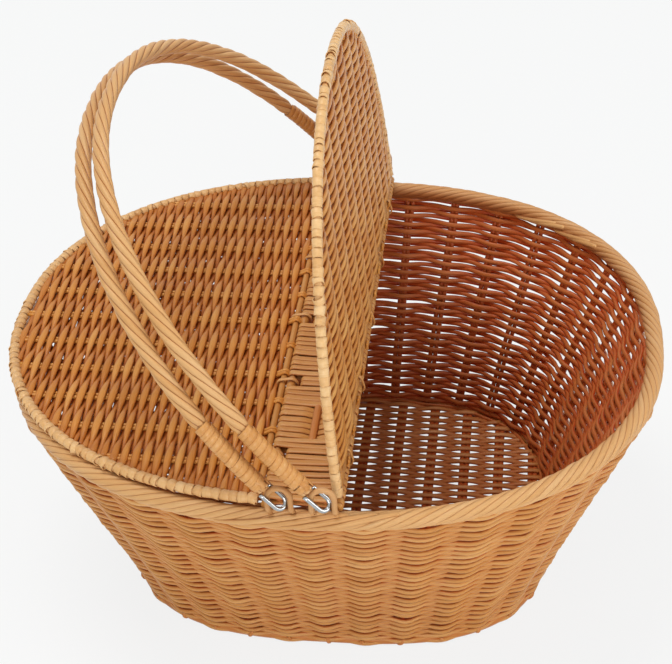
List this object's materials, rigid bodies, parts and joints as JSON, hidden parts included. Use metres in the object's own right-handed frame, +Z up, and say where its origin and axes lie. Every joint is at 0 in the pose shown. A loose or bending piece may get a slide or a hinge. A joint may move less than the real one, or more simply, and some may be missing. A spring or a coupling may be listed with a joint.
{
  "type": "pie basket",
  "caption": "Oval woven cane pie basket with flared sides, a rolled rope rim, lids hinged on a central bridge, and swinging rope handles held in cane eyes.",
  "frame": {"origin": "middle of the basket's underside, on the plane it stands on", "axes": "+Z up; +X along the length, towards the lid that stands open; -Y towards the front, so that the hinge rods and the handles' pivots lie along Y"},
  "size_m": [0.3933, 0.3575, 0.3353],
  "materials": {
    "woven_cane": "satin peeled cane, honey tan",
    "rope_cane": "satin laid cane rope, warm tan",
    "binding_cane": "satin flat cane strap, paler straw tan",
    "bright_steel": "bright polished steel wire"
  },
  "bodies": {
    "basket": {"base_weave": "woven_cane", "foot_border": "rope_cane", "wall_weave": "woven_cane", "rim_border": "rope_cane", "bridge_weave": "woven_cane", "left_hinge_rod": "woven_cane", "right_hinge_rod": "woven_cane", "left_front_eye": "rope_cane", "left_back_eye": "rope_cane", "right_front_eye": "rope_cane", "right_back_eye": "rope_cane"},
    "left_lid": {"left_lid_border": "binding_cane", "left_lid_stick": "binding_cane", "left_lid_weave": "woven_cane", "left_lid_binding_1": "binding_cane", "left_lid_binding_2": "binding_cane", "left_lid_binding_3": "binding_cane", "left_lid_binding_4": "binding_cane", "left_lid_binding_5": "binding_cane"},
    "right_lid": {"right_lid_border": "binding_cane", "right_lid_stick": "binding_cane", "right_lid_weave": "woven_cane", "right_lid_binding_1": "binding_cane", "right_lid_binding_2": "binding_cane", "right_lid_binding_3": "binding_cane", "right_lid_binding_4": "binding_cane", "right_lid_binding_5": "binding_cane"},
    "left_handle": {"left_handle_rope": "rope_cane", "left_front_whipping": "binding_cane", "left_back_whipping": "binding_cane", "left_front_staple": "bright_steel", "left_back_staple": "bright_steel"},
    "right_handle": {"right_handle_rope": "rope_cane", "right_front_whipping": "binding_cane", "right_back_whipping": "binding_cane", "right_front_staple": "bright_steel", "right_back_staple": "bright_steel"}
  },
  "joints": [
    {"name": "left_lid_hinge", "type": "hinge", "parent": "basket", "child": "left_lid", "pos_m": [-0.0199, 0, 0.15685], "axis": [0, 1, 0], "range_deg": [0, 92]},
    {"name": "right_lid_hinge", "type": "hinge", "parent": "basket", "child": "right_lid", "pos_m": [0.0185, 0, 0.15685], "axis": [0, 1, 0], "range_deg": [0, 95]},
    {"name": "left_handle_swing", "type": "hinge", "parent": "basket", "child": "left_handle", "pos_m": [-0.0115, 0, 0.166], "axis": [0, 1, 0], "range_deg": [0, 82]},
    {"name": "right_handle_swing", "type": "hinge", "parent": "basket", "child": "right_handle", "pos_m": [0.0115, 0, 0.166], "axis": [0, 1, 0], "range_deg": [0, 82]}
  ],
  "couplings": [
    {"joint": "right_handle_swing", "follows": "left_handle_swing", "ratio": 1}
  ]
}
